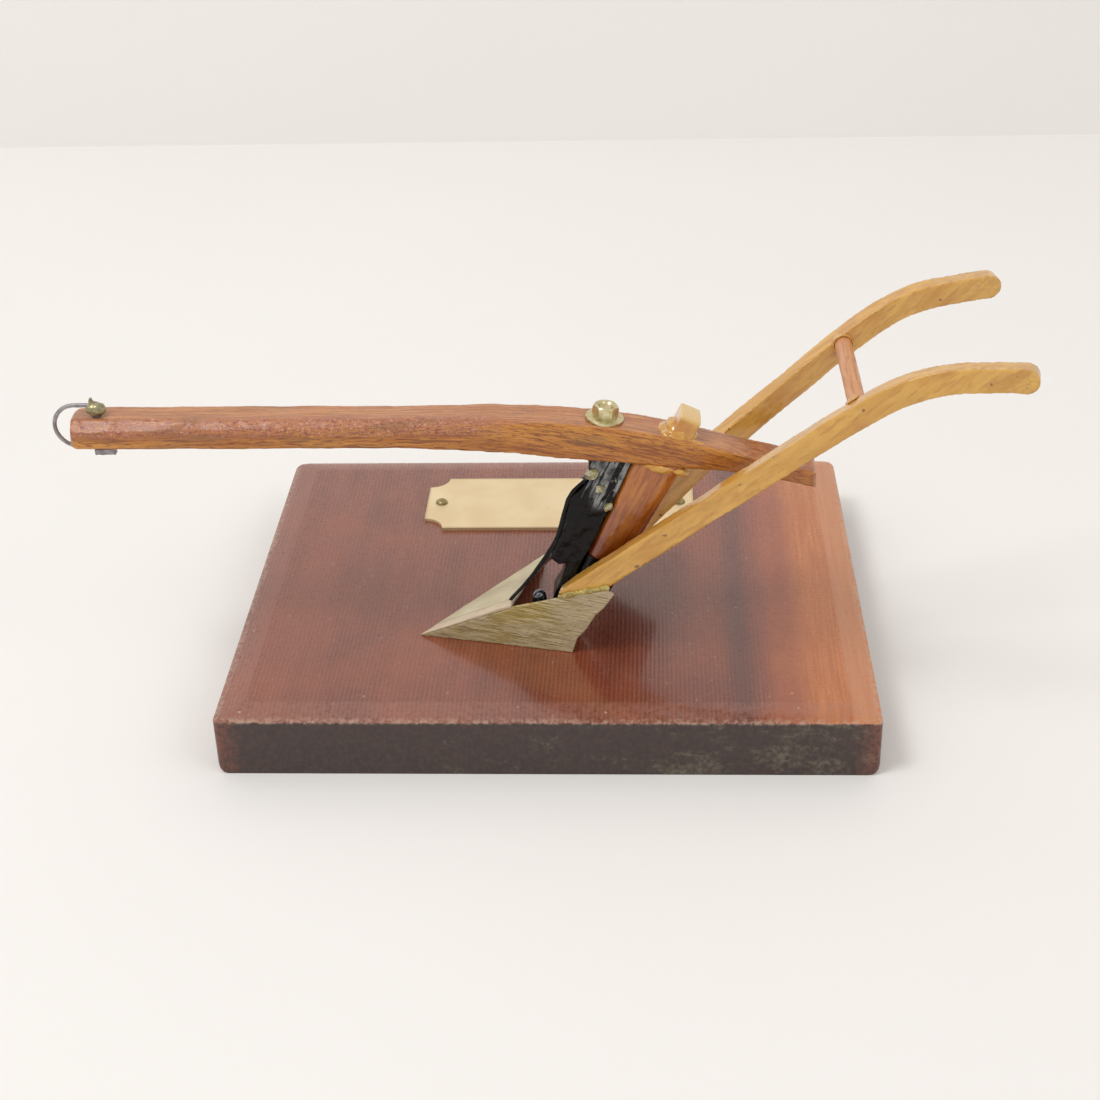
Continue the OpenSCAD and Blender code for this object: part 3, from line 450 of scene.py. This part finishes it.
def pare(piece, point, normal):
    """Pares off what lies beyond a plane and closes the cut."""
    select_only(piece)
    bpy.ops.object.mode_set(mode="EDIT")
    bpy.ops.mesh.select_all(action="SELECT")
    bpy.ops.mesh.bisect(plane_co=[c * MM for c in point], plane_no=normal, clear_outer=True, use_fill=True)
    bpy.ops.object.mode_set(mode="OBJECT")


def ease_edges(piece, width, segments, angle):
    apply_modifier(piece, "BEVEL", width=width * MM, segments=segments, limit_method="ANGLE",
                   angle_limit=math.radians(angle), harden_normals=False)


def wobble(piece, depth, size):
    """Pushes the skin in and out a little, as hand work leaves it."""
    texture = bpy.data.textures.new(piece.name + "_wobble", "CLOUDS")
    texture.noise_scale = size * MM
    texture.noise_depth = 1
    apply_modifier(piece, "DISPLACE", texture=texture, strength=depth * MM, mid_level=0.5,
                   texture_coords="LOCAL")


def whittle(piece, voxel, rounds, depth=0.0, size=1.0):
    """Melts hard edges into a hand-worked form."""
    apply_modifier(piece, "REMESH", mode="VOXEL", voxel_size=voxel * MM, use_smooth_shade=True)
    apply_modifier(piece, "SMOOTH", factor=0.5, iterations=rounds)
    if depth:
        wobble(piece, depth, size)
    select_only(piece)
    bpy.ops.object.shade_smooth()


def shade_flat_faces(piece):
    """Smooth shading that keeps large faces flat and rounds only the narrow ones between them."""
    select_only(piece)
    bpy.ops.object.shade_smooth_by_angle(angle=math.radians(35))
    apply_modifier(piece, "WEIGHTED_NORMAL", weight=100, keep_sharp=True)


def dress(piece, node, body, finish):
    piece.data.materials.append(FINISHES[finish])
    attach(piece, body)
    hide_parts(node)


def carry_over(node, finish):
    """Keeps a solid node's shape and gives it a new material."""
    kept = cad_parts[node]
    for index in range(len(kept.material_slots)):
        kept.material_slots[index].material = FINISHES[finish]


def shape_board():
    piece = merged_copy("base_board", "varnished_board")
    ease_edges(piece, 0.55, 3, 30)
    shade_flat_faces(piece)
    dress(piece, "base_board", "plow", "plaque_wood")


def shape_nameplate():
    piece = merged_copy("nameplate", "bare_nameplate")
    ease_edges(piece, 0.14, 2, 30)
    shade_flat_faces(piece)
    dress(piece, "nameplate", "plow", "plate_brass")


def shape_beam():
    """The left top edge is pared back along the front, then the whole bar is eased by hand."""
    piece = merged_copy("beam", "carved_beam")
    pare(piece, (-60.0, -28.3, 66.4), (-0.012, -0.66, 0.75))
    pare(piece, (-98.1, PLOW_Y, 64.0), (-1.0, -0.12, 0.10))
    pare(piece, (20.0, -28.9, 66.2), (0.16, -0.62, 0.77))
    ease_edges(piece, 0.5, 2, 40)
    whittle(piece, 0.33, 3, 0.34, 7.0)
    wobble(piece, 0.10, 1.6)
    dress(piece, "beam", "plow", "beam_oak")


def shape_standard():
    """The standard's corners are rubbed round, and its tenon with them."""
    piece = merged_copy("standard", "turned_standard")
    whittle(piece, 0.26, 7, 0.35, 5.0)
    dress(piece, "standard", "plow", "post_wood")


def shape_handle(node, name):
    piece = merged_copy(node, name)
    ease_edges(piece, 0.55, 3, 40)
    whittle(piece, 0.28, 4, 0.4, 8.0)
    wobble(piece, 0.09, 1.8)
    dress(piece, node, "plow", "handle_wood")


def glue_blob(node, name, body, finish, lumps, voxel, depth, size):
    """Rounded lumps that have run together: each has a centre, three half sizes and a lean about Y."""
    for index, (centre, half, lean) in enumerate(lumps):
        bpy.ops.object.select_all(action="DESELECT")
        bpy.ops.mesh.primitive_uv_sphere_add(segments=32, ring_count=20, radius=1.0,
                                             location=[c * MM for c in centre],
                                             rotation=(0, math.radians(lean), 0))
        lump = bpy.context.object
        lump.scale = [h * MM for h in half]
        bpy.ops.object.transform_apply(location=True, rotation=True, scale=True)
        if index == 0:
            piece = lump
            piece.name = name
        else:
            select_only(lump)
            piece.select_set(True)
            bpy.context.view_layer.objects.active = piece
            bpy.ops.object.join()
    whittle(piece, voxel, 4, depth, size)
    dress(piece, node, body, finish)


def shape_nut():
    piece = merged_copy("flange_nut", "flanged_nut")
    ease_edges(piece, 0.09, 2, 25)
    shade_flat_faces(piece)
    dress(piece, "flange_nut", "plow", "nut_metal")


def shape_small(node, name, body, finish, voxel, rounds, depth=0.0, size=1.0):
    piece = merged_copy(node, name)
    whittle(piece, voxel, rounds, depth, size)
    dress(piece, node, body, finish)


shape_board()
shape_nameplate()
shape_beam()
shape_standard()
shape_handle("left_handle", "left_handle_bar")
shape_handle("right_handle", "right_handle_bar")
shape_small("handle_rung", "rung_rod", "plow", "rung_wood", 0.2, 2, 0.14, 3.0)
shape_small("frog", "cast_frog", "plow", "black_metal", 0.25, 3, 0.6, 3.2)
shape_small("moldboard", "curved_moldboard", "plow", "black_metal", 0.24, 4, 0.12, 4.0)
shape_small("share", "steel_share", "plow", "share_metal", 0.17, 2, 0.18, 3.0)
shape_small("landside", "cut_landside", "plow", "landside_metal", 0.15, 1, 0.12, 0.9)
shape_small("landside_glue", "landside_bead", "plow", "yellow_glue", 0.12, 9, 0.3, 1.6)
glue_blob("tenon_glue", "tenon_fillet", "plow", "amber_glue", [
    ((27.2, PLOW_Y, 62.9), (4.3, 4.1, 0.9), 13.6), ((27.5, PLOW_Y, 63.5), (3.1, 3.9, 1.9), 25.5),
    ((30.6, -28.3, 61.5), (2.4, 0.8, 0.9), 14.0),
    ((25.2, -27.6, 63.3), (1.6, 1.4, 0.9), 10.0)],
    0.15, 0.3, 1.6)
glue_blob("shoulder_glue", "shoulder_fillet", "plow", "amber_glue", [
    ((23.4, PLOW_Y, 56.4), (6.5, 4.6, 1.3), 10.0), ((27.6, -28.0, 55.2), (1.9, 1.3, 1.0), 20.0),
    ((23.6, -28.9, 56.0), (2.2, 0.7, 0.8), 10.0)], 0.16, 0.3, 1.5)
shape_small("frog_glue", "frog_drops", "plow", "drop_glue", 0.12, 5, 1.3, 1.3)
shape_small("right_handle_glue", "handle_foot_glue", "plow", "yellow_glue", 0.25, 3, 0.4, 2.2)
shape_small("rung_glue", "rung_collars", "plow", "amber_glue", 0.14, 3, 0.2, 1.0)
shape_nut()
shape_small("beam_bolt", "bolt_stud", "plow", "nut_metal", 0.12, 2)
shape_small("frog_screw", "frog_screw_round", "plow", "screw_steel", 0.12, 3)
shape_small("nameplate_pins", "escutcheon_pins", "plow", "pin_brass", 0.12, 2)
shape_small("clevis_loop", "clevis_bow", "clevis", "wire_steel", 0.10, 3, 0.08, 1.4)
glue_blob("clevis_cap", "solder_cap", "clevis", "solder", [
    ((-92.5, PLOW_Y, 68.7), (2.1, 1.8, 1.45), 6.0),
    ((-93.2, PLOW_Y, 70.0), (0.65, 0.45, 1.2), -8.0)],
    0.11, 0.5, 1.2)
shape_small("clevis_foot", "flattened_foot", "clevis", "wire_steel", 0.12, 4, 0.2, 1.2)
carry_over("post_ferrule", "black_metal")
carry_over("post_screw", "screw_steel")
carry_over("clevis_pin", "wire_steel")


# ---------------------------------------------------------------- studio
def stage_material(name, colour):
    s = Shader(name, Roughness=0.75)
    cloud = s.noise(s.x * 0.004, s.y * 0.004, s.z * 0.004, detail=2.0)
    return s.finish(s.mix(cloud.between(0.3, 0.7), colour, tuple(0.985 * c for c in colour)))


def build_stage():
    """A pale sheet on the table with an upright sheet behind."""
    bpy.ops.object.select_all(action="DESELECT")
    bpy.ops.mesh.primitive_plane_add(size=4.0, location=(0, 0, 0))
    floor = bpy.context.object
    floor.name = "table_sheet"
    floor.data.materials.append(stage_material("table_sheet", (0.885, 0.865, 0.84)))
    bpy.ops.object.select_all(action="DESELECT")
    bpy.ops.mesh.primitive_plane_add(size=4.0, location=(0, 0.36, 2.0), rotation=(math.radians(90), 0, 0))
    wall = bpy.context.object
    wall.name = "back_sheet"
    wall.data.materials.append(stage_material("back_sheet", (0.89, 0.865, 0.845)))


def lamp(name, place, target, size, power):
    """A square soft light at place that faces target."""
    data = bpy.data.lights.new(name, "AREA")
    data.shape = "SQUARE"
    data.size = size
    data.energy = power
    made = bpy.data.objects.new(name, data)
    bpy.context.scene.collection.objects.link(made)
    made.location = place
    aim = made.location - Vector(target)
    made.rotation_euler = aim.to_track_quat("Z", "Y").to_euler()


def light_studio():
    world = bpy.data.worlds.new("studio")
    bpy.context.scene.world = world
    world.use_nodes = True
    backdrop = world.node_tree.nodes["Background"]
    backdrop.inputs["Color"].default_value = (1.0, 0.985, 0.965, 1.0)
    backdrop.inputs["Strength"].default_value = 0.68
    lamp("key", (-0.55, -0.35, 1.10), (0, 0, 0.03), 0.4, 5.3)
    lamp("fill", (0.70, -0.50, 0.80), (0, 0, 0.03), 0.5, 1.2)


def place_camera():
    """Looks down from in front and a little to the right."""
    data = bpy.data.cameras.new("camera")
    data.sensor_width = 36.0
    data.lens = 61.56
    made = bpy.data.objects.new("camera", data)
    bpy.context.scene.collection.objects.link(made)
    made.location = (18.91 * MM, -370.44 * MM, 235.47 * MM)
    made.rotation_euler = [math.radians(a) for a in (59.875, 1.450, 2.242)]
    bpy.context.scene.camera = made


build_stage()
light_studio()
place_camera()
bpy.context.scene.view_settings.view_transform = "Standard"
